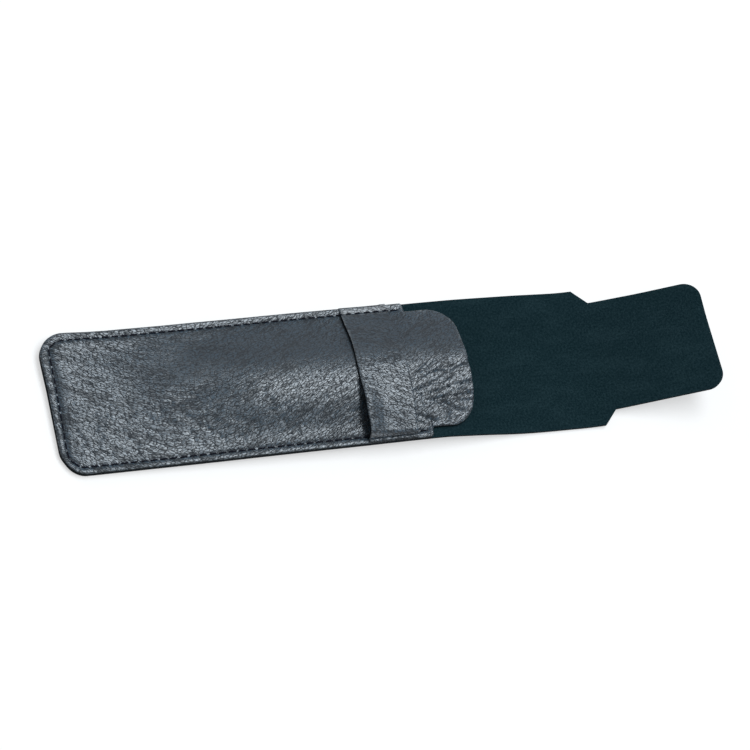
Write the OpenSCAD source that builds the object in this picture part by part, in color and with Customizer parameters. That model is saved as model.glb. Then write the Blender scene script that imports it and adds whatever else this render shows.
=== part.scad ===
// Sleeve for one pen: a flat sewn pocket with a retaining strap across it and a
// lined flap that folds over the mouth. Modelled open, as it lies on a table.
// X runs from the closed end to the tip of the flap, Z is up, and the origin is
// on the table under the middle of the open sleeve.

/* [Sleeve] */
// Width across the sleeve
sleeve_w = 47; // [42:0.5:54]
// Length of the sewn part of the pocket, from the closed end
pocket_len = 119; // [112:1:130]
// Radius of the two corners at the closed end
end_r = 7.5; // [5:0.5:10]
// Distance from the cut edge to the seam
seam_inset = 2.1; // [1.8:0.1:2.6]

/* [Pen channel] */
// Thickest pen that the pocket is shaped for
pen_d = 9; // [7:0.5:11]
// Length over which the channel grows from the closed end to its full height
channel_run = 72; // [50:1:78]
// Height of the sewn edges above the table at the mouth
edge_lift = 3.2; // [1.5:0.1:4]
// Half width of the strip of the back that lies flat on the table
rest_half_w = 4; // [3.6:0.2:6]

/* [Pocket mouth] */
// Length of the loose end of the front panel, past the seam
mouth_len = 16; // [12:0.5:20]
// Step in at each side where the loose end starts
mouth_step = 3.2; // [2.6:0.1:4.5]
// Radius of the two corners of the loose end
mouth_r = 8.5; // [6:0.5:10]
// Play between the loose end and the back's lining
mouth_play = 0.15; // [0.1:0.05:0.4]

/* [Strap] */
// Width of the retaining strap
strap_w = 16; // [12:0.5:20]
// Distance from the strap to the end of the seam
strap_back = 5.5; // [3:0.5:8]
// Height of the slack in the strap on its near side
strap_slack = 1.8; // [1:0.1:2.5]
// Play between the strap and the front panel on its far side
strap_play = 0.25; // [0.1:0.05:0.6]

/* [Fold and flap] */
// Bare back between the pocket mouth and the fold
mouth_to_fold = 15; // [12:0.5:20]
// Room that the fold leaves over the pen
fold_room = 1; // [0.8:0.1:3]
// Full-width length past the fold
cheek_len = 19; // [16:0.5:24]
// Length of the slanted shoulder
shoulder_len = 4.5; // [3:0.5:7]
// Step in at each shoulder
shoulder_step = 4.9; // [3.5:0.1:6]
// Length of the flap past the start of the shoulder
flap_len = 40.5; // [34:0.5:46]
// Radius of the two corners of the flap
flap_r = 5.5; // [3.5:0.5:8]
// Slope at which the open flap springs up, as rise over run
flap_slope = 0.3; // [0.1:0.02:0.36]
// Length of the bend that starts the slope
bend_len = 16; // [10:1:20]
// Gap between two pieces of a sheet that are parted at a fold line
fold_gap = 0.3; // [0.2:0.05:0.5]

/* [Sheet and thread] */
// Thickness of the leatherette face
face_t = 0.8; // [0.6:0.05:1]
// Thickness of the suede lining
lining_t = 0.4; // [0.3:0.05:0.6]
// Length of one stitch
stitch = 3.1; // [2.6:0.1:4]
// Length of the sunk part between two stitches
stitch_dip = 0.9; // [0.8:0.05:1.1]
// Thickness of the thread
thread_d = 0.4; // [0.3:0.05:0.5]
// Play between each thread and the middle of the seam, where the two meet
thread_play = 0.05; // [0.04:0.01:0.08]

/* [Hidden] */

leatherette = [0.27, 0.32, 0.37];
suede = [0.05, 0.10, 0.11];
thread = [0.04, 0.05, 0.09];

half_w = sleeve_w / 2;
sheet_t = face_t + lining_t;
seam_t = 1 - seam_inset / half_w;
seam_y = half_w - seam_inset;

// Places along the sleeve
strap_x1 = pocket_len - strap_back;
strap_x0 = strap_x1 - strap_w;
mouth_x = pocket_len + mouth_len;
fold_x = mouth_x + mouth_to_fold;
fold_len = pen_d + fold_room;
flap_x = fold_x + fold_len;
cheek_x = flap_x + cheek_len;
shoulder_x = cheek_x + shoulder_len;
tip_x = cheek_x + flap_len;
bend_x = cheek_x - bend_len / 2;
lift_x0 = strap_x0 - 4;
lift_x1 = pocket_len + 3;
step_run = 0.5;
mouth_half_w = half_w - mouth_step;
flap_half_w = half_w - shoulder_step;

// Outlines: half the width of each sheet at a place along the sleeve
function arc_w(w, r, d) = w - r + sqrt(max(0, r * r - pow(max(0, r - d), 2)));
function back_w(x) = arc_w(half_w, end_r, x);
function front_w(x) =
    x <= pocket_len ? back_w(x)
    : x < pocket_len + step_run ? half_w - mouth_step * (x - pocket_len) / step_run
    : arc_w(mouth_half_w, mouth_r, mouth_x - x);
function flap_w(x) =
    x <= cheek_x ? half_w
    : x < shoulder_x ? half_w - shoulder_step * (x - cheek_x) / shoulder_len
    : arc_w(flap_half_w, flap_r, tip_x - x);

// Heights: the underside of the back, the underside of the front, and the flap
function ease(u) = let (c = min(1, max(0, u))) c * c * (3 - 2 * c);
function rise(x) = edge_lift * ease(x / lift_x0);
function fall(x) = 1 - ease((x - lift_x1) / (fold_x - 2 - lift_x1));
function side(y) = ease((abs(y) - rest_half_w) / (seam_y - rest_half_w));
function back_z(x, y) = rise(x) * fall(x) * side(y);
function channel(x) = pow(sin(90 * min(1, max(0, (x - seam_inset) / channel_run))), 1.2);
function crown(x) = rise(x) + (pen_d - rise(x)) * channel(x);
function ridge(v) = v >= 1 ? 0 : pow(cos(90 * v), 1.4);
function seam_at(x) = seam_t * back_w(x);
function front_z(x, y) =
    let (
        loose = x > pocket_len,
        v = abs(y) / (loose ? seam_y : seam_at(x)),
        back = rise(x) * side(y),
        front = rise(x) + (crown(x) - rise(x)) * ridge(v)
    )
    sheet_t + (loose ? mouth_play : 0) + (v >= 1 ? back : max(back, front));
function flap_z(x) =
    x <= bend_x ? 0
    : x < bend_x + bend_len ? flap_slope * pow(x - bend_x, 2) / (2 * bend_len)
    : flap_slope * (x - bend_x - bend_len / 2);

// Columns across a sheet, as shares of its half width, with one on each seam line
cols_in = 7;
cols = concat([-1], [for (i = [-cols_in : cols_in]) seam_t * i / cols_in], [1]);

// Stations along each sheet
arc_steps = [0 : 15 : 90];
end_xs = [for (a = arc_steps) end_r * (1 - cos(a))];
function spread(a, b, n) = [for (i = [1 : n]) a + (b - a) * i / n];
run_x = channel_run + seam_inset;
pocket_xs = concat(end_xs, spread(end_r, run_x, 8), spread(run_x, lift_x0, 3), [pocket_len]);
back_xs = concat(pocket_xs, spread(pocket_len, fold_x - fold_gap / 2, 7));
mouth_xs = concat(
    [pocket_len + step_run],
    [for (a = arc_steps) mouth_x - mouth_r + mouth_r * sin(a)]
);
front_xs = concat(pocket_xs, mouth_xs);
flap_xs = concat(
    [flap_x + fold_gap / 2, bend_x],
    spread(bend_x, cheek_x, 3),
    [shoulder_x],
    spread(shoulder_x, bend_x + bend_len, 1),
    spread(bend_x + bend_len, tip_x - flap_r, 2),
    [for (a = [15 : 15 : 90]) tip_x - flap_r + flap_r * sin(a)]
);

// A closed sheet over a grid of stations and columns, from height low to high
module sheet(xs, half, low, high) {
    nc = len(cols);
    nx = len(xs);
    grid = [for (x = xs) for (c = cols) [x, c * half(x)]];
    points = concat(
        [for (p = grid) [p.x, p.y, low(p.x, p.y)]],
        [for (p = grid) [p.x, p.y, high(p.x, p.y)]]
    );
    up = nx * nc;
    last = (nx - 1) * nc;
    faces = concat(
        [for (i = [0 : nx - 2], j = [0 : nc - 2]) let (a = i * nc + j) each [
            [a, a + nc + 1, a + 1], [a, a + nc, a + nc + 1],
            [up + a, up + a + 1, up + a + nc + 1], [up + a, up + a + nc + 1, up + a + nc]
        ]],
        [for (i = [0 : nx - 2]) let (a = i * nc, b = a + nc - 1) each [
            [a, up + a + nc, a + nc], [a, up + a, up + a + nc],
            [b, b + nc, up + b + nc], [b, up + b + nc, up + b]
        ]],
        [for (j = [0 : nc - 2]) let (b = last + j) each [
            [j, j + 1, up + j + 1], [j, up + j + 1, up + j],
            [b, up + b + 1, b + 1], [b, up + b, up + b + 1]
        ]]
    );
    polyhedron(points, faces);
}

// Puts the origin under the middle of the open sleeve
module placed() {
    translate([-tip_x / 2, 0, 0]) children();
}

module back_layer(from, to) {
    sheet(
        back_xs, function(x) back_w(x),
        function(x, y) back_z(x, y) + from, function(x, y) back_z(x, y) + to
    );
}

module front_layer(from, to) {
    sheet(
        front_xs, function(x) front_w(x),
        function(x, y) front_z(x, y) + from, function(x, y) front_z(x, y) + to
    );
}

module flap_layer(from, to) {
    sheet(
        flap_xs, function(x) flap_w(x),
        function(x, y) flap_z(x) + from, function(x, y) flap_z(x) + to
    );
}

module fold_layer(from, to) {
    translate([fold_x + fold_gap / 2, -half_w, from])
        cube([fold_len - fold_gap, sleeve_w, to - from]);
}

// Underside of the strap across the sleeve: on the seams at both ends, close over
// the panel on the far side, and standing off it on the near side
strap_mid = (strap_x0 + strap_x1) / 2;
function strap_gap(y) =
    let (u = min(1, abs(y) / seam_y))
    y < 0 ? strap_play * (1 - ease(u)) + strap_slack * sin(180 * pow(u, 1.5))
    : strap_play * min(1, (1 - u) * cols_in);
strap_ys = [for (c = cols) c * half_w];
strap_path = [for (y = strap_ys) [y, front_z(strap_mid, y) + sheet_t + strap_gap(y)]];

function unit(v) = v / norm(v);
function left_of(v) = [-v.y, v.x];
function path_normal(path, i) =
    let (a = unit(path[min(i + 1, len(path) - 1)] - path[max(i - 1, 0)]))
    (i == 0 || i == len(path) - 1) ? [0, 1] : left_of(a);
function beside(path, d) = [for (i = [0 : len(path) - 1]) path[i] + d * path_normal(path, i)];

module strap_layer(from, to) {
    inner = beside(strap_path, from);
    outer = beside(strap_path, to);
    translate([strap_x0, 0, 0])
        rotate([90, 0, 90])
            linear_extrude(strap_w)
                polygon(concat(inner, [for (i = [len(outer) - 1 : -1 : 0]) outer[i]]));
}

// Line of the seam: up one side, across the corners and the closed end, and back
corner_x = end_r + 1;
corner_y = half_w - end_r + 1;
seam_start = pocket_len - 1.2;
seam_line = [
    [seam_start, -seam_y], [corner_x, -seam_y], [seam_inset, -corner_y],
    [seam_inset, corner_y], [corner_x, seam_y], [seam_start, seam_y]
];
function leg(i) = norm(seam_line[i + 1] - seam_line[i]);
function stitch_count(i) = max(1, round(leg(i) / stitch));
function lerp2(a, b, t) = a + (b - a) * t;

// Height of the top and of the middle of the stack under a stitch
function on_strap(x) = x > strap_x0 && x < strap_x1;
function top_z(p) = front_z(p.x, p.y) + sheet_t + thread_d / 4 + (on_strap(p.x) ? sheet_t : 0);
function mid_z(p) = front_z(p.x, p.y);

// One stitch: out of its hole, along the surface and down into the next hole
function wave(i, over, under) = [
    for (k = [0 : stitch_count(i) - 1])
    let (
        n = stitch_count(i),
        d = stitch_dip / 2 / leg(i),
        a = lerp2(seam_line[i], seam_line[i + 1], k / n + d),
        b = lerp2(seam_line[i], seam_line[i + 1], (k + 1) / n - d)
    )
    each [[a.x, a.y, under(a)], [a.x, a.y, over(a)], [b.x, b.y, over(b)], [b.x, b.y, under(b)]]
];
function seam_path(over, under) = [for (i = [0 : len(seam_line) - 2]) each wave(i, over, under)];

// A square thread along a path of points, mitred at each of them
module thread_along(path) {
    n = len(path);
    e = 4 * (n - 1);
    r = thread_d / 2;
    function flat(i) =
        let (a = path[max(i - 2, 0)], b = path[min(i + 2, n - 1)])
        unit([b.x - a.x, b.y - a.y, 0]);
    function side_of(i) = let (f = flat(i)) [-f.y, f.x, 0];
    function run(i) = unit(path[i + 1] - path[i]);
    function over_of(i, s) =
        let (
            m0 = unit(cross(run(max(i - 1, 0)), s)),
            m1 = unit(cross(run(min(i, n - 2)), s))
        )
        (m0 + m1) / (1 + m0 * m1);
    points = [
        for (i = [0 : n - 1])
        let (s = side_of(i), m = over_of(i, s))
        for (k = [[1, 1], [-1, 1], [-1, -1], [1, -1]])
        path[i] + r * (k.x * s + k.y * m)
    ];
    faces = concat(
        [[1, 2, 3], [0, 1, 3]],
        [for (i = [0 : n - 2], k = [0 : 3]) let (a = 4 * i + k, b = 4 * i + (k + 1) % 4) each [
            [a, b + 4, b], [a, a + 4, b + 4]
        ]],
        [[e + 2, e + 1, e], [e + 3, e + 2, e]]
    );
    polyhedron(points, faces);
}

module back_cover() {
    color(leatherette) placed() back_layer(0, face_t);
}

module back_lining() {
    color(suede) placed() back_layer(face_t, sheet_t);
}

module front_lining() {
    color(suede) placed() front_layer(0, lining_t);
}

module front_cover() {
    color(leatherette) placed() front_layer(lining_t, sheet_t);
}

module strap_lining() {
    color(suede) placed() strap_layer(0, lining_t);
}

module strap_cover() {
    color(leatherette) placed() strap_layer(lining_t, sheet_t);
}

module needle_thread() {
    color(thread) placed() thread_along(seam_path(
        function(p) top_z(p), function(p) mid_z(p) + thread_d / 2 + thread_play
    ));
}

module bobbin_thread() {
    color(thread) placed() thread_along(seam_path(
        function(p) back_z(p.x, p.y) + thread_d / 2,
        function(p) mid_z(p) - thread_d / 2 - thread_play
    ));
}

module fold_cover() {
    color(leatherette) placed() fold_layer(0, face_t);
}

module fold_lining() {
    color(suede) placed() fold_layer(face_t, sheet_t);
}

module flap_cover() {
    color(leatherette) placed() flap_layer(0, face_t);
}

module flap_lining() {
    color(suede) placed() flap_layer(face_t, sheet_t);
}

back_cover();
back_lining();
front_cover();
front_lining();
strap_cover();
strap_lining();
needle_thread();
bobbin_thread();
fold_cover();
fold_lining();
flap_cover();
flap_lining();
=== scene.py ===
"""Looks of an open sleeve for one pen, built around its packed solids.

Lengths in the forms below are in millimetres, with X from the closed end of the
pocket. They are moved into the packed frame, in metres, when a mesh is made.
"""

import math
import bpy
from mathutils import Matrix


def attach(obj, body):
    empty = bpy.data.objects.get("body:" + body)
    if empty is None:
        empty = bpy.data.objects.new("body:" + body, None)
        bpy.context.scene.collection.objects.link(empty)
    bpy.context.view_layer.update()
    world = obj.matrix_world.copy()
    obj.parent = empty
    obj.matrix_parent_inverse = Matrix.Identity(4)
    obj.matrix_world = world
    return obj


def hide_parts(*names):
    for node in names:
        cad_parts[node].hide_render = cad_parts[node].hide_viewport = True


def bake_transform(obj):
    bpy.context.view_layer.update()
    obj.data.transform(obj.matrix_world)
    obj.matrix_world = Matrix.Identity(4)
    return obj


bl_info = {
    "name": "Single Pen Sleeve",
    "version": (1, 0, 0),
    "blender": (4, 5, 0),
    "location": "3D View > Sidebar > Pen Sleeve",
    "description": "Builds the leather, suede and thread of an open pen sleeve, and its stage",
    "category": "Object",
}

import bpy
import numpy as np
from mathutils import Matrix, Vector

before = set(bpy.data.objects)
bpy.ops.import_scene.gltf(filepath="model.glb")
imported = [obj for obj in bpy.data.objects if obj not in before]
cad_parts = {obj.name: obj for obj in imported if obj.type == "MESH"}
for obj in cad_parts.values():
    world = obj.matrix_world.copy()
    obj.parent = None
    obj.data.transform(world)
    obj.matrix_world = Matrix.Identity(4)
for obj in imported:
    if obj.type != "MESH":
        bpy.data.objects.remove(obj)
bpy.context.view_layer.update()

MM = 0.001
FLAT_MAP = "Flat"
LEAN_MAP = "Grain"  # leans as the grain does
CORNER_POINTS = 8  # points of a rounded corner that lie closer than a sheet's pitch
CLOSEST = 0.09  # least distance between two points along a sheet
ACROSS = 1.35  # pitch across a sheet, as a share of the pitch along it
SHARP_ANGLE = math.radians(60)
SEAM_STOP = 1.2  # from the end of the sewn part to the last stitch


# Sizes and colours


def number(name, description, default, **limits):
    """A plain number."""
    return bpy.props.FloatProperty(name=name, description=description, default=default, **limits)


def length(name, description, mm, low=0.0, high=300.0):
    """A length whose default and limits are given in millimetres."""
    return number(
        name, description, mm * MM, min=low * MM, max=high * MM, precision=5, unit="LENGTH",
    )


def colour(name, description, rgb):
    """A colour."""
    return bpy.props.FloatVectorProperty(
        name=name, description=description, default=rgb, min=0.0, max=1.0, subtype="COLOR",
    )


def angle(name, description, degrees):
    """An angle whose default is given in degrees."""
    return number(name, description, math.radians(degrees), subtype="ANGLE")


class SleeveSizes(bpy.types.PropertyGroup):
    """Sizes of the sleeve, as its solids have them."""

    width: length("Width", "Width across the sleeve", 47)
    pocket: length("Pocket", "Length of the sewn part of the pocket", 119)
    end_radius: length("End corner", "Radius of the corners at the closed end", 7.5)
    seam_inset: length("Seam inset", "Distance from the cut edge to the seam", 2.1)
    pen: length("Pen", "Thickest pen that the pocket is shaped for", 9)
    channel: length("Channel", "Length over which the channel grows", 72)
    rest_half: length("Rest strip", "Half width of the strip on the table", 4)
    mouth: length("Mouth", "Length of the front panel's loose end", 16)
    mouth_step: length("Mouth step", "Step in where the loose end starts", 3.2)
    mouth_radius: length("Mouth corner", "Radius of the corners of the loose end", 8.5)
    mouth_play: length("Mouth play", "Play under the loose end", 0.15)
    strap: length("Strap", "Width of the retaining strap", 16)
    strap_back: length("Strap place", "Distance from the strap to the seam's end", 5.5)
    strap_slack: length("Strap slack", "Height of the slack on the strap's near side", 1.9)
    strap_play: length("Strap play", "Play between the strap and the panel", 0.12)
    bare: length("Bare back", "Back between the pocket's mouth and the fold", 15)
    fold: length("Fold", "Length between the two fold lines", 10)
    bend: length("Fold bend", "Length over which the strip bends", 7)
    cheek: length("Cheek", "Full-width length past the fold", 19)
    shoulder: length("Shoulder", "Length of the slanted shoulder", 4.5)
    shoulder_step: length("Shoulder step", "Step in at each shoulder", 4.9)
    flap: length("Flap", "Length past the shoulder's start", 40.5)
    flap_radius: length("Flap corner", "Radius of the corners of the flap", 5.5)
    spring: length("Spring", "Length of the open flap's bend", 16)
    face: length("Face", "Thickness of the leatherette", 0.8)
    lining: length("Lining", "Thickness of the suede", 0.4)
    trim: length("Trim", "Length trimmed off the mouth's soft end", 0.6)
    swell: length("Swell", "How far the pressed edges swell", 0.15)
    stitch: length("Stitch", "Length of one stitch", 3.1)
    dip: length("Stitch dip", "Length sunk between two stitches", 0.9)
    thread: length("Thread", "Thickness of the thread", 0.5)
    pitch: length("Mesh pitch", "Distance between two points of a sheet", 0.36)
    slope: number("Flap slope", "Slope of the open flap", 0.3, min=0.0, max=1.0, subtype="FACTOR")


class SleeveColours(bpy.types.PropertyGroup):
    """Colours of the sleeve's materials."""

    hide_top: colour("Grain tops", "Leatherette on top of its grain", (0.031, 0.064, 0.097))
    # the grain valleys' darker tone, deepened as painted shade
    hide_valley_and_shade: colour("Grain valleys", "Leatherette between its grain", (0.002, 0.008, 0.015))
    # painted highlight: the leatherette is coloured lighter near its cut edges, as wear and as
    # brighter pebble highlights
    hide_worn_highlight: colour("Worn edge", "Leatherette rubbed bright at its edges", (0.16, 0.185, 0.205))
    core: colour("Cut edge", "Backing cloth at a cut edge", (0.006, 0.008, 0.010))
    suede: colour("Suede", "Nap of the lining", (0.0045, 0.0150, 0.0190))
    suede_worn: colour("Brushed suede", "Nap that was rubbed the other way", (0.024, 0.048, 0.056))
    thread: colour("Thread", "Sewing thread", (0.004, 0.004, 0.009))
    floor: colour("Floor", "Floor that the sleeve lies on", (0.80, 0.80, 0.80))


# Forms


def ease(u):
    """0 to 1 with level ends."""
    c = np.clip(u, 0.0, 1.0)
    return c * c * (3 - 2 * c)


def rises(x, start, run):
    """0 up to start and 1 a run after it, eased."""
    return ease((x - start) / run)


def falls(x, end, run):
    """1 up to a run before end and 0 from there, eased."""
    return ease((end - x) / run)


def bell(u):
    """1 at 0, and falling to 0 on both sides."""
    return np.exp(-(u**2))


def between(a, b, t):
    """From a at 0 to b at 1."""
    return a + (b - a) * t


def arc_width(half, radius, to_end):
    """Half width of a strip with rounded corners, at a distance from its end."""
    short = np.maximum(0.0, radius - to_end)
    return half - radius + np.sqrt(np.maximum(0.0, radius**2 - short**2))


def inset(y, half, radius, to_end):
    """Distance from a point to the cut outline of a strip's rounded end."""
    over, aside = radius - to_end, np.abs(y) - (half - radius)
    corner = radius - np.hypot(over, aside)
    return np.where((over > 0) & (aside > 0), corner, np.minimum(to_end, half - np.abs(y)))


def smooth_line(points, x, reach=5.0, samples=9):
    """Height along a line of points, with its corners rounded over reach."""
    at, height = zip(*points)
    steps = np.linspace(-reach, reach, samples)
    weights = 1 - np.abs(steps) / (reach + 1)
    total = sum(w * np.interp(x + d, at, height) for d, w in zip(steps, weights))
    return total / weights.sum()


class Lumps:
    """Smooth lumps on a plane, from -1 to 1, always the same for one seed."""

    SIDE = 64

    def __init__(self, seed):
        self.table = np.random.RandomState(seed).uniform(-1, 1, (self.SIDE, self.SIDE))

    def __call__(self, x, y):
        i, j = np.floor(x).astype(int), np.floor(y).astype(int)
        u, v = ease(x - i), ease(y - j)

        def at(a, b):
            return self.table[a % self.SIDE, b % self.SIDE]

        low = between(at(i, j), at(i + 1, j), u)
        high = between(at(i, j + 1), at(i + 1, j + 1), u)
        return between(low, high, v)


def creases(lumps, along, across, long, wide, sharp=0.16):
    """Depth, from 0 to 1, of creases that run along one way."""
    u, v = along / long, across / wide
    finer = lumps(u * 2.1 + 9.7, v * 1.9 + 4.3)
    return bell((lumps(u, v) + 0.5 * finer) / sharp)


class Form:
    """Outlines and heights of the sleeve."""

    # Height of the underside along the two long edges, as the sleeve lies
    NEAR_EDGE = (
        (0, 0), (9, 0), (22, 0.4), (47, 1.1), (73, 2.1), (99, 2.9), (112, 3.4),
        (124, 3.8), (137, 2.3), (149, 0.5), (157, 0), (230, 0),
    )
    FAR_EDGE = (
        (0, 0.7), (7, 1.7), (14, 0.8), (22, 0.4), (56, 1.2), (83, 2.1), (96, 2.3),
        (106, 2.2), (124, 3.0), (137, 3.2), (150, 2.8), (160, 2.5), (168, 1.9),
        (176, 1.5), (186, 1.1), (200, 0.5), (214, 0.9), (230, 1.1),
    )
    STEP_ROUND, STEP_RUN = 0.9, 0.5  # the outline's step in where the seam ends
    SEWN_REACH = 0.25  # how far past the seam's end the sewn outline counts
    TIP_TRIM = 1.4  # the flap's trim, as a share of the mouth's
    CROWN_SHIFT, CROWN_RUN = -2.2, 60.0  # the crown moves to the near side over this run
    CROWN_CURVE, CHANNEL_CURVE = 1.4, 1.2  # fullness of the pocket across and along
    CLOSED_SHARE, CLOSED_END, OPENING = 0.42, 24.0, 46.0  # the flatter end, and its growth
    DENT_X, DENT_Y, DENT_DEPTH = 44.0, -3.4, 0.8
    DENT_LONG, DENT_WIDE, DENT_LEAN = 10.0, 2.0, 0.05
    PLAY_SIDE, PLAY_EDGE = 6.0, 4.0  # where the play of the sides fades, from the seam in
    PLAY_START, PLAY_RUN = 5.0, 6.0  # where the play of the middle grows, towards the end

    def __init__(self, sizes):
        for name in SleeveSizes.__annotations__:
            value = getattr(sizes, name)
            setattr(self, name, round(value if name == "slope" else value / MM, 4))
        self.half = self.width / 2 + self.swell
        self.sheet = self.face + self.lining
        self.seam_y = self.width / 2 - self.seam_inset
        self.strap_x1 = self.pocket - self.strap_back
        self.strap_x0 = self.strap_x1 - self.strap
        self.mouth_x = self.pocket + self.mouth
        self.fold_x = self.mouth_x + self.bare
        self.flap_x = self.fold_x + self.fold
        self.cheek_x = self.flap_x + self.cheek
        self.middle_x = (self.cheek_x + self.flap) / 2
        self.tip_x = self.cheek_x + self.flap - self.TIP_TRIM * self.trim
        self.mouth_x -= self.trim
        self.bend_x = self.cheek_x - self.spring / 2
        self.broad = Lumps(3)
        self.fine = Lumps(8)

    def back_half(self, x):
        """Half width of the back strip, with its rounded closed end."""
        return arc_width(self.half, self.end_radius, x)

    def front_half(self, x):
        """Half width of the front panel, with a rounded step at the seam's end."""
        round_off = self.STEP_ROUND
        past = np.clip((x - self.pocket + round_off) / round_off, 0, 0.999)
        border = self.back_half(x) - round_off * (1 - np.sqrt(1 - past**2))
        loose = arc_width(self.half - self.mouth_step, self.mouth_radius, self.mouth_x - x)
        return between(border, loose, ease((x - self.pocket) / self.STEP_RUN))

    def flap_half(self, x):
        """Half width of the flap: full, then slanted shoulders and a narrow end."""
        narrow = arc_width(self.half - self.shoulder_step, self.flap_radius, self.tip_x - x)
        slant = self.half - self.shoulder_step * (x - self.cheek_x) / self.shoulder
        shaped = np.maximum(narrow, np.minimum(slant, self.half))
        return np.where(x <= self.cheek_x, self.half, shaped)

    def side(self, y):
        """0 on the strip that lies on the table and 1 from the seam outwards."""
        return ease((np.abs(y) - self.rest_half) / (self.seam_y - self.rest_half))

    def edge(self, x, y):
        """Height of the edge on the point's own side."""
        near = smooth_line(self.NEAR_EDGE, x)
        far = smooth_line(self.FAR_EDGE, x)
        return np.where(y < 0, near, far)

    def spring_z(self, x):
        """How far the open flap springs up: a bend, then a straight slope."""
        run = np.clip(x - self.bend_x, 0, self.spring)
        past = np.maximum(0, x - self.bend_x - self.spring)
        return self.slope * (run**2 / (2 * self.spring) + past)

    def back_z(self, x, y):
        """Underside of the back strip."""
        return self.edge(x, y) * self.side(y) + self.spring_z(x)

    def channel_share(self, x):
        """How far the channel has grown: the pocket lies flatter at its closed end."""
        run = np.clip((x - self.seam_inset) / self.channel, 0, 1)
        full = np.sin(run * math.pi / 2) ** self.CHANNEL_CURVE
        return full * between(self.CLOSED_SHARE, 1.0, rises(x, self.CLOSED_END, self.OPENING))

    def dent(self, x, y):
        """Depth of the shallow dent near the closed end."""
        along = x - self.DENT_X
        aside = (y - self.DENT_Y - self.DENT_LEAN * along) / self.DENT_WIDE
        return self.DENT_DEPTH * np.exp(-((along / self.DENT_LONG) ** 2) - aside**2)

    def play(self, x, y):
        """Play under the loose end: full at its sides, and eased in along the middle."""
        sides = ease((np.abs(y) - self.seam_y + self.PLAY_SIDE) / self.PLAY_EDGE)
        middle = ease((x - self.pocket + self.PLAY_START) / self.PLAY_RUN)
        return self.mouth_play * between(middle, (x > self.pocket) * 1.0, sides)

    def front_z(self, x, y):
        """Underside of the front panel."""
        middle = self.CROWN_SHIFT * ease(x / self.CROWN_RUN)
        sewn = self.seam_y * self.back_half(x) / self.half
        seam = np.where(x > self.pocket, self.seam_y, sewn)
        v = np.abs(y - middle) / np.where(y < middle, seam + middle, seam - middle)
        rise = self.edge(x, y)
        average = (smooth_line(self.NEAR_EDGE, x) + smooth_line(self.FAR_EDGE, x)) / 2
        crown = average + (self.pen - average) * self.channel_share(x)
        ridge = np.cos(np.clip(v, 0, 1) * math.pi / 2) ** self.CROWN_CURVE
        arch = rise + (crown - rise) * ridge
        flat = rise * self.side(y)
        height = np.where(v >= 1, flat, np.maximum(flat, arch - self.dent(x, y)))
        return self.sheet + self.play(x, y) + height

    def back_inset(self, x, y):
        """Distance to the cut outline of the back strip, short of the flap."""
        return inset(y, self.half, self.end_radius, x)

    def front_inset(self, x, y):
        """Distance to the cut outline of the front panel."""
        sewn = self.back_inset(x, y)
        loose = inset(y, self.half - self.mouth_step, self.mouth_radius, self.mouth_x - x)
        border = np.abs(y) > self.half - self.mouth_step
        sewn_end = self.pocket + self.SEWN_REACH
        sewn = np.where(border, np.minimum(sewn, np.maximum(0, sewn_end - x)), sewn)
        return np.where(x > sewn_end, loose, sewn)

    def flap_inset(self, x, y):
        """Distance to the cut outline of the flap."""
        loose = inset(y, self.half - self.shoulder_step, self.flap_radius, self.tip_x - x)
        past = np.minimum(loose, self.flap_half(x) - np.abs(y))
        return np.where(x <= self.cheek_x, self.half - np.abs(y), past)

    def to_seam(self, x, y):
        """Distance to the straight runs and the cut corners of the seam."""
        points = seam_corners(self)
        best = np.full(np.broadcast(x, y).shape, np.inf)
        for a, b in zip(points, points[1:]):
            step = b - a
            t = np.clip(((x - a[0]) * step[0] + (y - a[1]) * step[1]) / (step @ step), 0, 1)
            best = np.minimum(best, np.hypot(x - a[0] - t * step[0], y - a[1] - t * step[1]))
        return best


def seam_corners(form):
    """The seam: up one side, across the closed end with cut corners, and back."""
    near_cut, far_cut = 3.1, 2.6
    near, far = form.seam_inset + near_cut, form.seam_inset + far_cut
    start = form.pocket - SEAM_STOP
    points = (
        (start, -form.seam_y), (near, -form.seam_y), (form.seam_inset, near - form.half),
        # the far corner is sewn rounder than the near one
        (form.seam_inset + 0.8, form.half - far), (far + 1, form.seam_y - 0.4),
        (far + 9, form.seam_y), (start, form.seam_y),
    )
    return [np.array(point) for point in points]


# Detail of a leather surface


def rolled(inset_mm, depth=0.34, reach=0.7, fullness=0.98):
    """How far a skin rolls down at its cut edge."""
    t = np.clip(1 - inset_mm / reach, 0, 1)
    return depth * (1 - np.sqrt(1 - fullness * t**2))


def groove_at(distance):
    """Depth of the groove that a seam pulls into the skin: a narrow one in a soft dip."""
    return 0.3 * bell(distance / 0.55) + 0.14 * bell(distance / 1.6)


def seam_groove(form, x, y):
    """The seam pulls the skin down, most at the stitch holes."""
    near = form.to_seam(x, y)
    pull = 0.06 * np.cos(2 * math.pi * (x - form.pocket + SEAM_STOP) / form.stitch)
    return groove_at(near) + pull * bell(near / 0.8)


def grain_lean(x):
    """Sideways shift of the grain: it falls to the right at the closed end and rises after it."""
    falling, rising = -math.tan(math.radians(30)), math.tan(math.radians(27))
    middle, reach = 44.0, 9.0
    soft = reach * np.logaddexp(0, (x - middle) / reach)
    return falling * x + (rising - falling) * soft


def strap_lean(x):
    """The same shift on the strap, which leans one way."""
    return -0.5 * x


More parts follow.
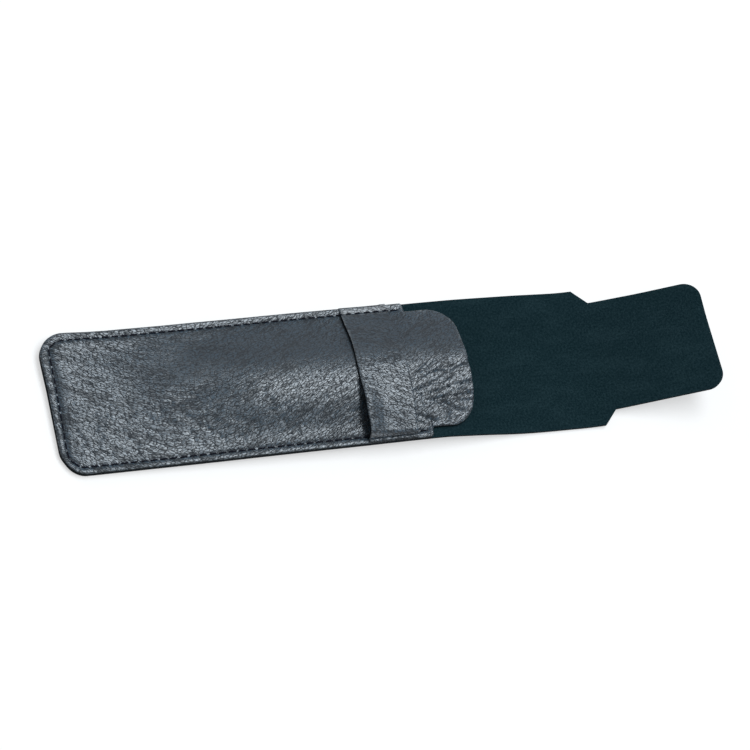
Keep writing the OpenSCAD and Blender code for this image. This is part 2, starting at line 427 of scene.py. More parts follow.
def front_detail(form, x, y):
    """Relief on the front panel: broad unevenness, pulled creases and the seam's groove."""
    away = rises(form.to_seam(x, y), 0.6, 4)
    near_side = falls(y, 3.0, 9)
    across = y - grain_lean(x)
    relief = 0.2 * form.broad(x / 13, y / 8) * away
    long_ones = 0.20 * creases(form.fine, x, across, long=9.0, wide=2.4)
    short_ones = 0.12 * creases(form.broad, x + 40, across, long=5.0, wide=1.7)
    relief -= long_ones * away * between(0.25, 1, near_side)
    relief -= short_ones * away * between(0.4, 1, near_side)
    # creases that fan out from the strap's right edge towards the loose end
    fan_depth, fan_x, fan_y = 0.55, form.strap_x1 - 9.0, -13.0
    turn = np.arctan2(y - fan_y, x - fan_x) * 57  # in about degrees
    radius = np.hypot(x - fan_x, y - fan_y)
    fan = creases(form.fine, radius + 20, turn, long=16.0, wide=6.5, sharp=0.2)
    tongue = rises(x, form.strap_x1, 2) * falls(y, 6.0, 6) * rises(y, -21, 3)
    relief -= fan_depth * fan * tongue
    return relief - seam_groove(form, x, y) - rolled(form.front_inset(x, y))


def front_grain_and_shade(form, x, y):
    """The grain is pulled flatter where the panel is stretched down its far side. The same number
    paints shade: darker down the far slope and lighter towards the closed end.
    """
    stretched = rises(y, -2, 9) * (1 - 0.5 * rises(y, 12, 7)) * rises(x, 26, 26)
    loose = falls(x, 46, 30)
    return 1 + 0.25 * loose - 0.65 * stretched * rises(form.to_seam(x, y), 0.5, 1.5)


def back_detail(form, x, y, inset_mm):
    """Relief on the outer face of the back strip, seen from below."""
    relief = 0.05 * form.broad(x / 12 + 5, y / 9)
    relief -= 0.05 * creases(form.fine, x, y + 0.4 * x, long=6.0, wide=2.2)
    pressed = rises(np.abs(y), 1, 4)
    groove = np.where(x < form.pocket, seam_groove(form, x, y), 0)
    return relief * pressed * 0.6 - groove * 0.7 - rolled(inset_mm)


def nap_detail(form, x, y, inset_mm):
    """Relief on a suede lining."""
    relief = 0.05 * form.broad(x / 9 + 2, y / 7) + 0.02 * form.fine(x / 2.2, y / 2.0)
    return relief * ease(inset_mm / 2) - rolled(inset_mm, depth=0.12, reach=0.4)


# Meshes


def run(low, high, pitch, marks=(), spread=(-0.7, -0.35, -0.15, 0, 0.15, 0.35, 0.7)):
    """Places from low to high, a pitch apart and closer together at the marks."""
    plain = np.linspace(low, high, max(2, int(round((high - low) / pitch)) + 1))
    close = np.array([m + d for m in marks for d in spread])
    places = np.unique(np.round(np.concatenate([plain, close]), 4))
    places = places[(places >= low) & (places <= high)]
    kept = [places[0]]
    for place in places[1:-1]:
        if place - kept[-1] > CLOSEST and high - place > CLOSEST:
            kept.append(place)
    return np.array(kept + [high])


def with_corner(xs, end, radius, inward, step=6):
    """Places along X with those of a rounded corner's outermost points added."""
    angles = np.radians(np.arange(0, 90 + step, step))
    return np.union1d(xs, (end + inward * radius * (1 - np.cos(angles)))[:CORNER_POINTS])


def grid_of(form, xs, half):
    """X and Y of a grid of points between two outlines, closer together at seam and edge."""
    marks = (-form.half, form.half, -form.seam_y, form.seam_y)
    shares = run(-form.half, form.half, form.pitch * ACROSS, marks) / form.half
    x = np.repeat(xs[:, None], len(shares), axis=1)
    return x, shares * half(x)


def points_of(x, y, z):
    """Points from three grids of coordinates."""
    return np.stack(np.broadcast_arrays(x, y, z), axis=-1)


def unit(vectors):
    """The same directions, one long."""
    return vectors / np.linalg.norm(vectors, axis=-1)[..., None]


def travelled(points):
    """Distance along each line of points, from its start."""
    steps = np.linalg.norm(np.diff(points, axis=-2), axis=-1)
    start = np.zeros((*steps.shape[:-1], 1))
    return np.concatenate([start, np.cumsum(steps, axis=-1)], axis=-1)


def new_object(name, data, materials):
    """An object of the scene with its materials in their slots."""
    for material in materials:
        data.materials.append(material)
    made = bpy.data.objects.new(name, data)
    bpy.context.scene.collection.objects.link(made)
    return made


def to_frame(form, points):
    """Points from millimetres at the closed end to metres in the packed frame."""
    moved = np.array(points, float).reshape(-1, 3)
    x, y = moved[:, 0].copy(), moved[:, 1]
    # the two cut ends are a little out of square
    corners = (0.4 * rises(y, 4, 13) - 0.6 * falls(y, -15, 5)) * falls(x, 9, 9)
    open_end = 0.45 * rises(x, 150, 12) * (y / 20 + 0.3) + 0.12 * rises(x, 195, 10)
    moved[:, 0] = x - corners - open_end - form.middle_x
    return moved * MM


def add_map(mesh, name, flat):
    """A UV map, in millimetres, from a place for each point."""
    layer = mesh.uv_layers.new(name=name)
    corner = np.zeros(len(mesh.loops), np.int32)
    mesh.loops.foreach_get("vertex_index", corner)
    layer.uv.foreach_set("vector", flat[corner].astype(np.float32).ravel())


def add_attribute(mesh, name, values):
    """A number for each point, which a shader can read by its name."""
    layer = mesh.attributes.new(name, "FLOAT", "POINT")
    layer.data.foreach_set("value", np.asarray(values, np.float32).ravel())


def closed_sheet(form, name, low, high, flat, lean, skin, skin_high, edge_mm, grain=1.0):
    """A closed sheet between two grids of points, skin on one side and backing on the rest."""
    nx, nc = low.shape[:2]
    count = nx * nc
    index = np.arange(count).reshape(nx, nc)
    a, b, c, d = index[:-1, :-1], index[1:, :-1], index[1:, 1:], index[:-1, 1:]
    top = np.stack([a, b, c, d], -1).reshape(-1, 4) + count
    bottom = np.stack([a, d, c, b], -1).reshape(-1, 4)
    rim = np.concatenate([index[:, 0], index[-1, 1:], index[-2::-1, -1], index[0, -2:0:-1]])
    after = np.roll(rim, -1)
    walls = np.stack([rim, after, after + count, rim + count], -1)
    faces = np.concatenate([top, bottom, walls])
    points = np.concatenate([low.reshape(-1, 3), high.reshape(-1, 3)])
    mesh = bpy.data.meshes.new(name)
    mesh.from_pydata(to_frame(form, points), [], faces.tolist())
    slots = np.ones(len(faces), np.int32)
    first = 0 if skin_high else len(top)
    slots[first : first + len(top)] = 0
    mesh.polygons.foreach_set("material_index", slots)
    plane = np.tile(flat.reshape(-1, 2), (2, 1))
    add_map(mesh, FLAT_MAP, plane)
    plane[:, 1] -= lean(plane[:, 0])
    add_map(mesh, LEAN_MAP, plane)
    farthest = 20
    add_attribute(mesh, "edge_mm", np.tile(np.clip(edge_mm, 0, farthest).ravel(), 2))
    # the grain number, which also paints shade into the leatherette's colour
    add_attribute(mesh, "grain", np.tile(np.broadcast_to(grain, edge_mm.shape).ravel(), 2))
    mesh.shade_smooth()
    mesh.set_sharp_from_angle(angle=SHARP_ANGLE)
    mesh.validate()
    return new_object(name, mesh, [skin, bpy.data.materials["Cut edge"]])


# Shaders


class Wire:
    """A node's output that can be used in sums, products and comparisons."""

    def __init__(self, shader, socket):
        self.shader, self.socket = shader, socket

    def _math(self, operation, *values):
        return self.shader.node("Math", {"operation": operation}, *values).out()

    def __add__(self, other):
        return self._math("ADD", self, other)

    def __sub__(self, other):
        return self._math("SUBTRACT", self, other)

    def __rsub__(self, other):
        return self._math("SUBTRACT", other, self)

    def __mul__(self, other):
        return self._math("MULTIPLY", self, other)

    __radd__ = __add__
    __rmul__ = __mul__

    def size(self):
        """The number without its sign."""
        return self._math("ABSOLUTE", self)

    def capped(self):
        """The number, kept from 0 to 1."""
        return self._math("MINIMUM", self._math("MAXIMUM", self, 0.0), 1.0)

    def step(self, low, high):
        """0 below low and 1 above high, eased between them."""
        settings = {"interpolation_type": "SMOOTHSTEP"}
        return self.shader.node("MapRange", settings, self, low, high, 0.0, 1.0).out()


class Placed:
    """A node of a shader, with its outputs by name."""

    def __init__(self, shader, node):
        self.shader, self.node = shader, node

    def out(self, name=None):
        """One output: by name, or else the first that is in use."""
        outputs = self.node.outputs
        first = next(o for o in outputs if o.enabled)
        return Wire(self.shader, first if name is None else outputs[name])


class Shader:
    """A material under construction."""

    def __init__(self, name):
        self.material = bpy.data.materials.get(name) or bpy.data.materials.new(name)
        self.material.use_nodes = True
        self.tree = self.material.node_tree
        self.tree.nodes.clear()

    def node(self, kind, settings=None, *values, **named):
        """A node of a kind, its settings first, then its sockets by place and by name."""
        made = self.tree.nodes.new("ShaderNode" + kind)
        for key, value in (settings or {}).items():
            setattr(made, key, value)
        inputs = [i for i in made.inputs if i.enabled]
        for socket, value in zip(inputs, values):
            self._feed(socket, value)
        for key, value in named.items():
            wanted = key.replace("_", " ")
            self._feed(next(i for i in inputs if i.name == wanted), value)
        return Placed(self, made)

    def _feed(self, socket, value):
        if isinstance(value, Wire):
            self.tree.links.new(value.socket, socket)
        elif socket.type == "RGBA" and len(value) == 3:
            socket.default_value = (*value, 1.0)
        else:
            socket.default_value = value

    def mix(self, factor, first, second):
        """First colour at factor 0, second at 1."""
        settings = {"data_type": "RGBA", "clamp_factor": True}
        return self.node("Mix", settings, factor, first, second).out("Result")

    def flat(self, name=FLAT_MAP):
        """Place on the sheet as it lies flat, in millimetres."""
        return self.node("UVMap", {"uv_map": name}).out()

    def attribute(self, name):
        """A number that the mesh holds for each point."""
        return self.node("Attribute", {"attribute_name": name}).out("Fac")

    def scaled(self, vector, across, along, turn=0.0):
        """A place with its two directions scaled, after a turn."""
        size = (across, along, 1)
        return self.node("Mapping", None, vector, (0, 0, 0), (0, 0, turn), size).out()

    def noise(self, vector, scale=1.0, detail=2.0, roughness=0.5):
        """Noise on the flat sheet."""
        settings = {"noise_dimensions": "2D"}
        return self.node(
            "TexNoise", settings, vector, Scale=scale, Detail=detail, Roughness=roughness
        ).out("Fac")

    def grit(self, scale, detail=2.0):
        """Noise through the piece, by its place in metres."""
        place = self.node("TexCoord").out("Object")
        settings = {"noise_dimensions": "3D"}
        return self.node("TexNoise", settings, place, Scale=scale, Detail=detail).out("Fac")

    def finish(self, height, bump_mm, **sockets):
        """The surface: a principled shader with a bump from a height."""
        settings = {"Strength": 1.0, "Distance": bump_mm * MM, "Height": height}
        bump = self.node("Bump", None, **settings).out("Normal")
        surface = self.node("BsdfPrincipled", None, Normal=bump, **sockets).out("BSDF")
        self.node("OutputMaterial", None, surface)
        return self.material


def tinted(rgb, factor):
    """A colour made darker or lighter."""
    return [c * factor for c in rgb]


def leather(colours):
    """Grained leatherette with a clear coat on its tops, dull valleys darkened with painted shade,
    and edges painted lighter as wear and highlight.
    """
    s = Shader("Leatherette")
    # the grain number sets how strong the grain is, and also paints shade: where it is low the
    # leatherette is coloured darker
    flat, grain = s.flat(), s.attribute("grain")
    # a slow drift keeps the leaning grain from running straight
    drift = s.node("TexNoise", {"noise_dimensions": "2D"}, flat, Scale=0.5, Detail=3.0)
    shift = drift.out("Color"), (1.8, 1.2, 0), s.flat(LEAN_MAP)
    moved = s.node("VectorMath", {"operation": "MULTIPLY_ADD"}, *shift).out()
    # pebbles, the ridges on them, and long creases through both
    settings = {"voronoi_dimensions": "2D", "feature": "DISTANCE_TO_EDGE"}
    pebbles = s.node("TexVoronoi", settings, s.scaled(moved, 0.7, 1.45), Scale=1.0)
    cells = pebbles.out("Distance")
    ridges = s.noise(s.scaled(moved, 0.8, 1.9), detail=1.5)
    grooves = 1 - cells.step(0.0, 0.16)
    valleys = (1 - cells.step(0.02, 0.24)) * (0.5 + ridges.step(0.66, 0.34) * 0.5)
    lines = s.noise(s.scaled(moved, 0.08, 0.45))
    crease = 1 - ((lines - 0.5).size() * 18).capped()
    relief = (ridges * 1.6 - grooves * 0.8 - crease) * grain
    pores = s.noise(flat, 4.5) * 0.03
    # masks: what is cut into the skin, what is painted lighter near the edges as wear and
    # highlight, and what stands up
    cut = (valleys * 1.15 + crease * 0.7).capped() * (grain * 0.3 + 0.7)
    edge_band = 1 - s.attribute("edge_mm").step(0.1, 1.1)
    # painted highlight: lighter patches near the cut edges, standing for wear and for highlights
    worn_highlight = (edge_band * s.noise(flat, 0.3).step(0.42, 0.7) * (1 - cut) * 0.6).capped()
    ridged, patchy = ridges - 0.5, s.noise(flat, 0.12, 3.0) - 0.5
    # colour: valleys and creases darkened as painted shade, the grain number painting shade across
    # the sheet, ridges and random patches on top
    tops = (
        grain * 0.25 + 0.45 + ridged * (grain * 0.8 + 0.6) - cut * 1.3 + patchy * 0.2
    ).capped()
    skin = s.mix(tops, colours.hide_valley_and_shade, colours.hide_top)
    return s.finish(
        relief + pores, bump_mm=0.07, Base_Color=s.mix(worn_highlight, skin, colours.hide_worn_highlight),
        Roughness=0.31 + cut * 0.35, Specular_IOR_Level=0.8,
        Coat_Weight=(1.15 + ridged * 0.8 - cut * 1.2).capped(), Coat_Roughness=0.38, Coat_IOR=1.6,
    )


def suede(colours):
    """Very fine flocked suede with brushed patches."""
    s = Shader("Suede")
    flat = s.flat()
    fibre = s.noise(flat, 5.5, 3.0, 0.7)
    tuft = s.noise(flat, 1.5, 3.0, 0.7)
    brushed = s.noise(s.scaled(flat, 0.5, 1.2, turn=0.5), 0.16, 4.0, 0.6).step(0.42, 0.68)
    shade = (0.27 + brushed * 0.15 + (fibre - 0.5) * 2.2 + (tuft - 0.5) * 1.6).capped()
    return s.finish(
        fibre * 0.7 + tuft * 0.5, bump_mm=0.07,
        Base_Color=s.mix(shade, colours.suede, colours.suede_worn),
        Roughness=0.92 + (fibre - 0.5) * 0.1, Specular_IOR_Level=0.0,
    )


def cut_edge(colours):
    """Backing cloth at a cut edge."""
    s = Shader("Cut edge")
    fray = s.grit(3200.0, 3.0)
    return s.finish(
        fray, bump_mm=0.05,
        Base_Color=s.mix(fray, tinted(colours.core, 0.5), tinted(colours.core, 1.8)),
        Roughness=0.9 - fray * 0.1, Specular_IOR_Level=0.1,
    )


def sewing_thread(colours):
    """Twisted polyester thread."""
    s = Shader("Sewing thread")
    fuzz = s.grit(5200.0)
    return s.finish(
        fuzz, bump_mm=0.04,
        Base_Color=s.mix(fuzz, tinted(colours.thread, 0.6), tinted(colours.thread, 2.2)),
        Roughness=0.55 + fuzz * 0.2, Specular_IOR_Level=0.15,
    )


def materials(context):
    """The sleeve's materials, made once."""
    colours = context.scene.pen_sleeve_colours
    if "Leatherette" not in bpy.data.materials:
        leather(colours)
        suede(colours)
        cut_edge(colours)
        sewing_thread(colours)
    return bpy.data.materials


# Pieces


def back_piece(context, name, start, end, is_face, axis_x):
    """One length of the back strip's face or lining."""
    form, mats = Form(context.scene.pen_sleeve_sizes), materials(context)
    marks = (form.seam_inset, form.cheek_x, form.cheek_x + form.shoulder)
    lining_pitch = 1.5
    xs = run(
        start, end, form.pitch * (1.0 if is_face else lining_pitch),
        [x for x in marks if start < x < end],
    )
    on_flap = end == form.tip_x
    if start == 0:
        xs = with_corner(xs, 0, form.end_radius, 1)
    if on_flap:
        xs = with_corner(xs, end, form.flap_radius, -1)
    x, y = grid_of(form, xs, form.flap_half if on_flap else form.back_half)
    gap = form.flap_inset(x, y) if on_flap else form.back_inset(x, y)
    under = form.back_z(x, y)
    if is_face:
        low = np.maximum(under - back_detail(form, x, y, gap), under)
        high = under + form.face
    else:
        low = under + form.face
        high = under + form.sheet + nap_detail(form, x, y, gap)
    piece = closed_sheet(
        form, name, points_of(x, y, low), points_of(x, y, high), np.stack([x, y], -1),
        grain_lean, mats["Leatherette" if is_face else "Suede"], not is_face, gap,
    )
    reach = form.bend / 2
    at = axis_x - form.middle_x
    (at - reach) * MM
    (at + reach) * MM
    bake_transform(piece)
    return piece


class PENSLEEVE_OT_back_strip(bpy.types.Operator):
    """Builds the long back strip: leatherette outside, suede inside, in two lengths that meet in
    the middle of the fold
    """

    bl_idname = "pensleeve.back_strip"
    bl_label = "Back strip and flap"

    def execute(self, context):
        form = Form(context.scene.pen_sleeve_sizes)
        middle = form.fold_x + form.fold / 2
        back = 0.0, middle, ("sleeve", "fold"), form.fold_x
        flap = middle, form.tip_x, ("fold", "flap"), form.flap_x
        parts = (
            ("back_face", back, True, ("back_cover",)),
            ("back_suede", back, False, ("back_lining",)),
            ("flap_face", flap, True, ("flap_cover", "fold_cover")),
            ("flap_suede", flap, False, ("flap_lining", "fold_lining")),
        )
        for name, (start, end, bodies, axis_x), is_face, nodes in parts:
            piece = back_piece(context, name, start, end, is_face, axis_x)
            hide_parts(*nodes)
        return {"FINISHED"}


def sew_in(*pieces):
    """Fixes pieces to the sleeve, each in place of its solid."""
    for piece, node, slot in pieces:
        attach(piece, "sleeve")
        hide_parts(node)


class PENSLEEVE_OT_front_panel(bpy.types.Operator):
    """Builds the front panel of the pocket with its rounded loose end"""

    bl_idname = "pensleeve.front_panel"
    bl_label = "Front panel"

    def execute(self, context):
        form, mats = Form(context.scene.pen_sleeve_sizes), materials(context)
        marks = (form.seam_inset, form.pocket - 0.6, form.pocket + 0.4)
        xs = run(0, form.mouth_x, form.pitch, marks)
        xs = with_corner(xs, 0, form.end_radius, 1)
        xs = with_corner(xs, form.mouth_x, form.mouth_radius, -1)
        x, y = grid_of(form, xs, form.front_half)
        under = form.front_z(x, y)
        gap = form.front_inset(x, y)
        flat = np.stack([x, y], -1)
        low = np.minimum(under - nap_detail(form, x, y, gap) * 0.5, under + 0.2)
        top = under + form.sheet + front_detail(form, x, y)
        low, mid, top = (points_of(x, y, z) for z in (low, under + form.lining, top))
        face = closed_sheet(
            form, "front_face", mid, top, flat,
            grain_lean, mats["Leatherette"], True, gap, front_grain_and_shade(form, x, y),
        )
        nap = closed_sheet(
            form, "front_suede", low, mid, flat, grain_lean, mats["Suede"], False, gap,
        )
        sew_in((face, "front_cover", "leatherette"), (nap, "front_lining", "suede"))
        return {"FINISHED"}


def strap_stand(form, x, y):
    """How far the strap stands off the panel: slack on the near side, tight on the far one."""
    along = (x - form.strap_x0) / form.strap
    lift = between(1.3, 0.72, ease(along)) + 0.55 * ease(1 - along * 2.6)
    u = np.clip(-y / form.seam_y, 0, 1)
    bulge = rises(u, 0.12, 0.62) * between(1.0, 0.86, rises(u, 0.86, 0.14))
    tight = np.minimum(1, (1 - np.abs(y) / form.seam_y) * 7).clip(0)
    slack = form.strap_play + form.strap_slack * lift * bulge
    return np.where(y < 0, slack, form.strap_play * tight)


def strap_curves(form, x):
    """Inner, middle and outer line of the strap at one station, as (Y, Z) points."""
    seam, edge = -form.seam_y, -form.half
    inside = run(seam + 0.5, form.half, form.pitch * ACROSS, (form.seam_y, form.half))
    panel = form.front_z(np.full_like(inside, x), inside) + form.sheet
    inner = np.stack([inside, panel + strap_stand(form, x, inside)], -1)
    slope = np.gradient(inner[:, 1], inner[:, 0])
    slope = np.where(inside > form.seam_y - 0.6, 0, slope)
    normal = unit(np.stack([-slope, np.ones_like(slope)], -1))
    # the far end is skived thin before it goes into the seam
    skived = between(1.0, 0.35, rises(inside, form.seam_y - 1.5, 1.2))[:, None]
    outer = inner + form.sheet * skived * normal
    mid = inner + form.lining * skived * normal
    # the near end: the sewn lip, the crease at the seam, and the wall of the slack
    border = float(form.front_z(np.array([x]), np.array([edge]))[0] + form.sheet)
    rise_in, rise_out = inner[0, 1] - border, outer[0, 1] - border
    thin, wall = 0.7 * form.sheet, edge + 1.05
    lip = [edge + step for step in (0, 0.25, 0.5, 0.75)]
    outer_end = [(y, border + thin) for y in lip]
    outer_end += [(edge + 0.92, border + thin - 0.16), (edge + 1.02, border + thin + 0.05)]
    outer_end += [
        (between(wall, outer[0, 0], over), border + between(thin, rise_out, up))
        for over, up in ((0.05, 0.3), (0.22, 0.6), (0.55, 0.86))
    ]
    inner_end = [(y, border) for y in lip]
    inner_end += [
        (seam + over, border + rise_in * up)
        for over, up in ((-0.5, 0), (-0.15, 0), (0.1, 0.2), (0.2, 0.5), (0.33, 0.8))
    ]
    inner_end, outer_end = np.array(inner_end), np.array(outer_end)
    mid_end = between(inner_end, outer_end, form.lining / form.sheet)
    pairs = (inner_end, inner), (mid_end, mid), (outer_end, outer)
    return [np.concatenate(pair) for pair in pairs]


class PENSLEEVE_OT_strap(bpy.types.Operator):
    """Builds the retaining strap, tight over the far slope and slack at its near end"""

    bl_idname = "pensleeve.strap"
    bl_label = "Retaining strap"

    def execute(self, context):
        form, mats = Form(context.scene.pen_sleeve_sizes), materials(context)
        xs = run(form.strap_x0, form.strap_x1, form.pitch, (form.strap_x0, form.strap_x1))
        curves = [strap_curves(form, float(x)) for x in xs]
        inner, mid, outer = (np.stack([c[i] for c in curves]) for i in range(3))
        x = np.repeat(xs[:, None], inner.shape[1], axis=1)
        across = outer[..., 0]
        # the left edge isn't cut square: it bows out over the crown
        flare = falls(across, 13, 16) * (1 - 0.6 * falls(across, -14, 7)) - 0.5
        x = x - flare * (form.strap_x1 - x) / form.strap
        # the strap's grain has its own place on the map
        down, map_place = travelled(mid), 240
        u, v = x + map_place, down - form.half
        flat = np.stack([u, v], -1)
        side = np.minimum(xs - form.strap_x0, form.strap_x1 - xs)[:, None]
        gap = np.minimum(side, np.minimum(down, down[:, -1:] - down))
        # the right edge isn't rolled, nor painted lighter as wear and highlight, on its far half
        plain_right_edge = 3 * rises(across, -2, 8) * (xs > form.strap_x1 - 2)[:, None]
        relief = 0.06 * form.broad(u / 8, v / 7)
        relief -= 0.09 * creases(form.fine, u, v - strap_lean(u), long=4.0, wide=1.7)
        groove = 0.4 * groove_at(across - form.seam_y)
        relief = relief * ease(gap / 2.5) - rolled(gap + plain_right_edge) - groove
        low, mid = (points_of(x, line[..., 0], line[..., 1]) for line in (inner, mid))
        top = points_of(x, across, outer[..., 1] + relief)
        # grain and painted shade: the strap is coloured lighter over its slack near side and
        # darker over its tight far side
        face = closed_sheet(
            form, "strap_face", mid, top, flat, strap_lean, mats["Leatherette"], True,
            gap + plain_right_edge, between(1.15, 0.35, rises(across, -1, 8)),
        )
        nap = closed_sheet(
            form, "strap_suede", low, mid, flat, strap_lean, mats["Suede"], False, gap,
        )
        sew_in((face, "strap_cover", "leatherette"), (nap, "strap_lining", "suede"))
        return {"FINISHED"}


# Height of a stitch along its length, from hole to hole
STITCH_ARCH = (
    (0.02, 0.55), (0.08, 0.88), (0.2, 1.0), (0.4, 1.06),
    (0.6, 1.06), (0.8, 1.0), (0.92, 0.88), (0.98, 0.55),
)


def stitch_path(form, over, under):
    """A thread's centre line through the whole seam: over the sheets and down at each hole."""
    corners = seam_corners(form)
    path = []
    for a, b in zip(corners, corners[1:]):
        size = np.linalg.norm(b - a)
        count = max(1, round(size / form.stitch))
        sunk = form.dip / 2 / size
        for k in range(count):
            start, end = k / count + sunk, (k + 1) / count - sunk
            for t, height in ((0, 0.0), *STITCH_ARCH, (1, 0.0)):
                path.append((*between(a, b, between(start, end, t)), height))
    x, y, height = np.array(path).T
    return points_of(x, y, between(under(x, y), over(x, y), height))


def twisted_tube(form, name, path, material):
    """A two-ply thread: an oval tube that turns as it runs along its path."""
    sides, per_turn, mean, oval = 10, 1.3, 0.9, 0.16
    ahead = unit(np.diff(path, axis=0))
    ahead = np.concatenate([ahead, ahead[-1:]])
    tangent = unit(ahead + np.concatenate([ahead[:1], ahead[:-1]]))
    # the level direction is taken over about a stitch, so that it doesn't flip at a hole
    count, spread = len(path), 12
    at = np.arange(count)
    level = path[np.minimum(at + spread, count - 1)] - path[np.maximum(at - spread, 0)]
    level[:, 2] = 0
    level = unit(level)
    side = np.stack([-level[:, 1], level[:, 0], np.zeros(count)], -1)
    up = unit(np.cross(side, -tangent))
    turn = travelled(path) / per_turn * 2 * math.pi
    around = np.arange(sides) * 2 * math.pi / sides
    radius = form.thread / 2 * (mean + oval * np.cos(2 * (around - turn[:, None])))
    rings = path[:, None] + (radius * np.cos(around))[..., None] * side[:, None]
    rings += (radius * np.sin(around))[..., None] * up[:, None]
    index = np.arange(count * sides).reshape(count, sides)
    turned = np.roll(index, -1, axis=1)
    faces = np.stack([index[:-1], turned[:-1], turned[1:], index[1:]], -1).reshape(-1, 4).tolist()
    faces += [index[0][::-1].tolist(), index[-1].tolist()]
    mesh = bpy.data.meshes.new(name)
    mesh.from_pydata(to_frame(form, rings), [], faces)
    mesh.shade_smooth()
    mesh.validate()
    return new_object(name, mesh, [material])


class PENSLEEVE_OT_seam(bpy.types.Operator):
    """Sews the seam: the needle thread above and the bobbin thread below"""

    bl_idname = "pensleeve.seam"
    bl_label = "Lockstitch seam"

    def execute(self, context):
        form, mats = Form(context.scene.pen_sleeve_sizes), materials(context)
        apart = form.thread * 0.6

        def top(x, y):
            """Where the needle thread shows, also over the strap."""
            on_strap = (x > form.strap_x0) & (x < form.strap_x1)
            plain = form.front_z(x, y) + form.sheet - seam_groove(form, x, y)
            strap = form.sheet * between(0.75, 0.45, ease(y))
            return plain + np.where(on_strap, strap, 0) + form.thread * 0.25

        def bottom(x, y):
            """Where the bobbin thread shows from below."""
            return form.back_z(x, y) + seam_groove(form, x, y) * 0.7 + form.thread * 0.3

        parts = (
            ("needle_stitches", top, lambda x, y: form.front_z(x, y) + apart, "needle_thread"),
            ("bobbin_stitches", bottom, lambda x, y: form.front_z(x, y) - apart, "bobbin_thread"),
        )
        for name, over, under, node in parts:
            piece = twisted_tube(form, name, stitch_path(form, over, under), mats["Sewing thread"])
            sew_in((piece, node, "thread"))
        return {"FINISHED"}


# Stage


class StageSettings(bpy.types.PropertyGroup):
    """Camera and lights."""

    azimuth: angle("Azimuth", "Turn of the camera round the sleeve", -40.8)
    elevation: angle("Elevation", "Angle of the camera above the floor", 59.5)
    roll: angle("Roll", "Turn of the picture about the line of sight", 31.56)
    distance: length("Distance", "From the camera to the point it aims at", 1176.6, 10, 9000)
    lens: number("Lens", "Focal length on a 36 mm sensor", 178.4, min=1.0, unit="CAMERA")
    aim_x: length("Aim along", "Place along the sleeve that the camera aims at", -3.05, -200, 200)
    aim_y: length("Aim across", "Place across the sleeve that the camera aims at", 1.63, -200, 200)
    key_power: number("Key light", "Power of the light above", 345.0, min=0.0, unit="POWER")
    back_power: number("Back light", "Power of the light behind", 7.0, min=0.0, unit="POWER")
    sky: number("Sky", "Strength of the even light from all sides", 0.26, min=0.0)


# The soft lights' places and sizes, the floor's size and the camera's reach, in metres
KEY_PLACE, KEY_SIZE = (2.2, 0.45, 5.85), (6.4, 2.8)
BACK_PLACE, BACK_SIZE = (-1.25, 1.9, 1.15), (1.6, 1.6)
FLOOR_RADIUS, FLOOR_SIDES, FLOOR_DROP = 12.0, 48, 0.0001
NEAREST, FARTHEST = 0.01, 20.0
LAMP_COLOUR, SKY_COLOUR = (0.88, 0.95, 1.0), (0.9, 0.96, 1.0, 1.0)


def view_axes(azimuth, elevation, roll):
    """Right, up and back of a camera that looks down at the sleeve."""
    back = Vector((
        math.sin(azimuth) * math.cos(elevation),
        -math.cos(azimuth) * math.cos(elevation),
        math.sin(elevation),
    ))
    right = (-back).cross(Vector((0, 0, 1))).normalized()
    up = right.cross(-back)
    turned = math.cos(roll) * right + math.sin(roll) * up
    return turned, math.cos(roll) * up - math.sin(roll) * right, back


def soft_light(name, place, size, watts):
    """A large lamp that shines on the sleeve."""
    data = bpy.data.lights.new(name, "AREA")
    data.shape = "RECTANGLE"
    data.size, data.size_y = size
    data.energy = watts
    data.color = LAMP_COLOUR
    lamp = bpy.data.objects.new(name, data)
    lamp.location = place
    lamp.rotation_mode = "QUATERNION"
    lamp.rotation_quaternion = (-Vector(place)).to_track_quat("-Z", "Y")
    bpy.context.scene.collection.objects.link(lamp)


def floor_material(colours):
    """A pale floor that the camera sees as white wherever no shadow falls."""
    s = Shader("Floor")
    speckle = s.grit(180.0)

    def matte(colour):
        sockets = {"Base_Color": colour, "Roughness": 0.9, "Specular_IOR_Level": 0.0}
        return s.node("BsdfPrincipled", None, **sockets).out("BSDF")

    paper = matte(s.mix(speckle, tinted(colours.floor, 0.995), colours.floor))
    table = matte(s.mix(speckle, (0.56, 0.545, 0.535), (0.57, 0.555, 0.545)))
    glow = s.node("Emission", None, (1.0, 1.0, 1.0), 0.52).out()
    lit = s.node("AddShader", None, table, glow).out()
    path = s.node("LightPath")
    seen = path.out("Is Camera Ray") + path.out("Is Glossy Ray") + path.out("Is Transmission Ray")
    shown = s.node("MixShader", None, seen.capped(), paper, lit).out()
    s.node("OutputMaterial", None, shown)
    return s.material


def even_world(sky):
    """The same pale light from all sides."""
    world = bpy.data.worlds.new("Studio")
    bpy.context.scene.world = world
    world.use_nodes = True
    background = world.node_tree.nodes["Background"]
    background.inputs["Color"].default_value = SKY_COLOUR
    background.inputs["Strength"].default_value = sky


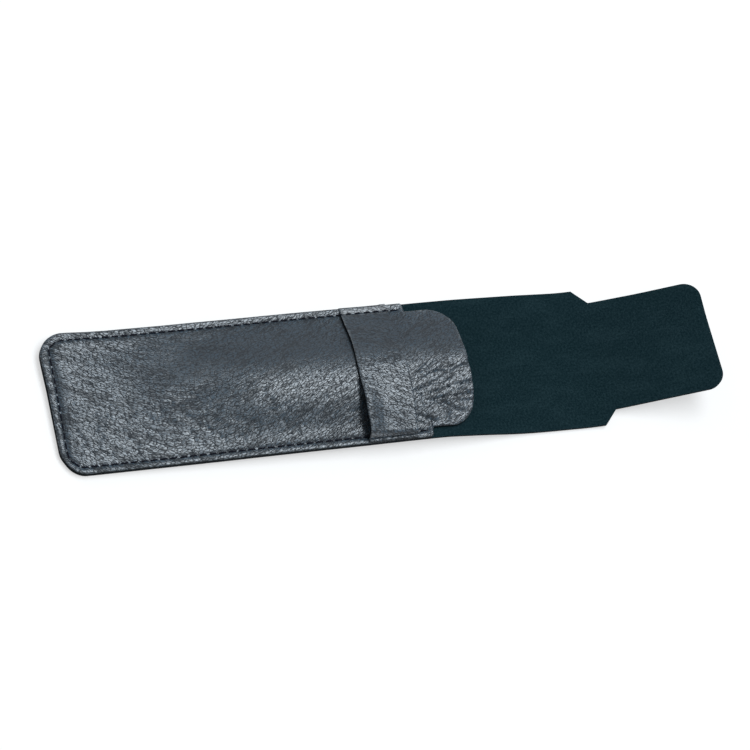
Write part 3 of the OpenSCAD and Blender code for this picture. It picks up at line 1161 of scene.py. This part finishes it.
class PENSLEEVE_OT_stage(bpy.types.Operator):
    """Sets up the camera, the soft lights, the floor and the even light around them"""

    bl_idname = "pensleeve.stage"
    bl_label = "Stage"

    def execute(self, context):
        scene = context.scene
        stage, colours = scene.pen_sleeve_stage, scene.pen_sleeve_colours
        right, up, back = view_axes(stage.azimuth, stage.elevation, stage.roll)
        data = bpy.data.cameras.new("Camera")
        data.sensor_width, data.lens = 36.0, stage.lens
        data.clip_start, data.clip_end = NEAREST, FARTHEST
        camera = bpy.data.objects.new("Camera", data)
        place = Vector((stage.aim_x, stage.aim_y, 0)) + back * stage.distance
        turned = Matrix((right, up, back)).transposed().to_4x4()
        camera.matrix_world = Matrix.Translation(place) @ turned
        scene.collection.objects.link(camera)
        scene.camera = camera

        mesh = bpy.data.meshes.new("floor")
        turns = np.linspace(0, 2 * math.pi, FLOOR_SIDES + 1)[:-1]
        ring = [
            (FLOOR_RADIUS * math.cos(a), FLOOR_RADIUS * math.sin(a), -FLOOR_DROP) for a in turns
        ]
        mesh.from_pydata(ring, [], [list(range(len(ring)))])
        new_object("floor", mesh, [floor_material(colours)])

        soft_light("key", KEY_PLACE, KEY_SIZE, stage.key_power)
        soft_light("back", BACK_PLACE, BACK_SIZE, stage.back_power)
        even_world(stage.sky)
        scene.view_settings.view_transform = "Standard"
        return {"FINISHED"}


class PENSLEEVE_PT_build(bpy.types.Panel):
    """Lists the pieces of the sleeve and its settings"""

    bl_label = "Pen Sleeve"
    bl_idname = "PENSLEEVE_PT_build"
    bl_space_type = "VIEW_3D"
    bl_region_type = "UI"
    bl_category = "Pen Sleeve"

    def draw(self, context):
        for operator in OPERATORS:
            self.layout.operator(operator.bl_idname)
        for name, kind in GROUPS.items():
            box = self.layout.box()
            box.label(text=kind.__doc__)
            for setting in kind.__annotations__:
                box.prop(getattr(context.scene, name), setting)


OPERATORS = (
    PENSLEEVE_OT_stage, PENSLEEVE_OT_back_strip, PENSLEEVE_OT_front_panel,
    PENSLEEVE_OT_strap, PENSLEEVE_OT_seam,
)
GROUPS = {
    "pen_sleeve_sizes": SleeveSizes,
    "pen_sleeve_colours": SleeveColours,
    "pen_sleeve_stage": StageSettings,
}


def register():
    for group in GROUPS.values():
        bpy.utils.register_class(group)
    for name, group in GROUPS.items():
        setattr(bpy.types.Scene, name, bpy.props.PointerProperty(type=group))
    for cls in (*OPERATORS, PENSLEEVE_PT_build):
        bpy.utils.register_class(cls)


def unregister():
    for cls in (PENSLEEVE_PT_build, *reversed(OPERATORS)):
        bpy.utils.unregister_class(cls)
    for name in GROUPS:
        delattr(bpy.types.Scene, name)
    for group in reversed(list(GROUPS.values())):
        bpy.utils.unregister_class(group)


def main():
    register()
    bpy.ops.pensleeve.stage()
    bpy.ops.pensleeve.back_strip()
    bpy.ops.pensleeve.front_panel()
    bpy.ops.pensleeve.strap()
    bpy.ops.pensleeve.seam()


if __name__ == "__main__":
    main()
